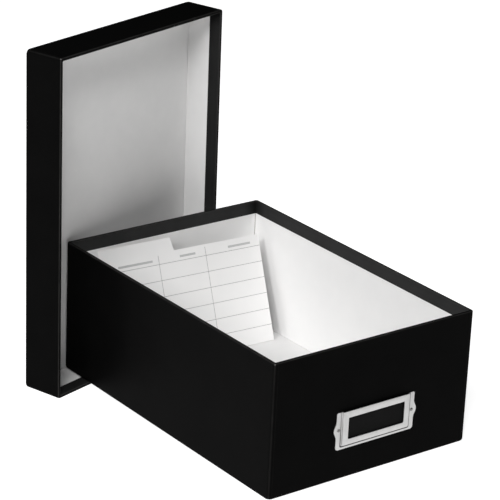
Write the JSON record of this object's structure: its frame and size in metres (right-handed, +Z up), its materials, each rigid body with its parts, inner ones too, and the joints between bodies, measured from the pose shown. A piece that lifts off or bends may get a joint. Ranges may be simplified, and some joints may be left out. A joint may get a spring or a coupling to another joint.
{
  "type": "archival storage box",
  "caption": "Black paper-covered board card box with a white lining, a loose lid standing behind it, a metal label holder and a tabbed index card.",
  "frame": {"origin": "centre of the tray's underside", "axes": "+X to the right along the tray's short front, +Y from the front to the rear, +Z up out of the tray's open top"},
  "size_m": [0.2345, 0.3258, 0.284],
  "materials": {
    "cover_paper": "satin black coated covering paper with a fine grain",
    "lining_paper": "matt white lining paper",
    "board": "grey-brown box board, hidden between cover and lining",
    "stay_tape": "brown gummed paper tape, hidden under the cover",
    "holder_metal": "satin nickel-plated pressed steel",
    "rivet_metal": "satin nickel-plated steel rivets",
    "label_card": "matt black card",
    "index_card": "matt white index card with fine grey rules"
  },
  "bodies": {
    "base": {"base_bottom_sheet": "cover_paper", "base_floor_board": "board", "base_floor_lining": "lining_paper", "base_front_board": "board", "base_front_cover": "cover_paper", "base_left_board": "board", "base_left_cover": "cover_paper", "base_rear_board": "board", "base_rear_cover": "cover_paper", "base_right_board": "board", "base_right_cover": "cover_paper", "base_stay_front_left": "stay_tape", "base_stay_front_right": "stay_tape", "base_stay_rear_left": "stay_tape", "base_stay_rear_right": "stay_tape", "base_wall_lining": "lining_paper", "label_holder": "holder_metal", "holder_rivet_left": "rivet_metal", "holder_rivet_right": "rivet_metal"},
    "lid": {"lid_foot_board": "board", "lid_foot_cover": "cover_paper", "lid_head_board": "board", "lid_head_cover": "cover_paper", "lid_left_board": "board", "lid_left_cover": "cover_paper", "lid_right_board": "board", "lid_right_cover": "cover_paper", "lid_stay_foot_left": "stay_tape", "lid_stay_foot_right": "stay_tape", "lid_stay_head_left": "stay_tape", "lid_stay_head_right": "stay_tape", "lid_top_board": "board", "lid_top_lining": "lining_paper", "lid_top_sheet": "cover_paper", "lid_wall_lining": "lining_paper"},
    "index_card": {"index_card": "index_card"},
    "label_card": {"label_card": "label_card"}
  },
  "joints": [
    {"name": "lid_slide", "type": "slide", "parent": "base", "child": "lid", "axis": [-0.2672, 0.9636, -0.0121], "range_m": [0, 0.15]},
    {"name": "card_tip", "type": "hinge", "parent": "base", "child": "index_card", "pos_m": [0.00549, 0.09315, 0.00315], "axis": [0.9974, -0.0715, 0], "range_deg": [0, 108]},
    {"name": "label_slide", "type": "slide", "parent": "base", "child": "label_card", "axis": [0, 0, 1], "range_m": [0, 0.03]}
  ]
}
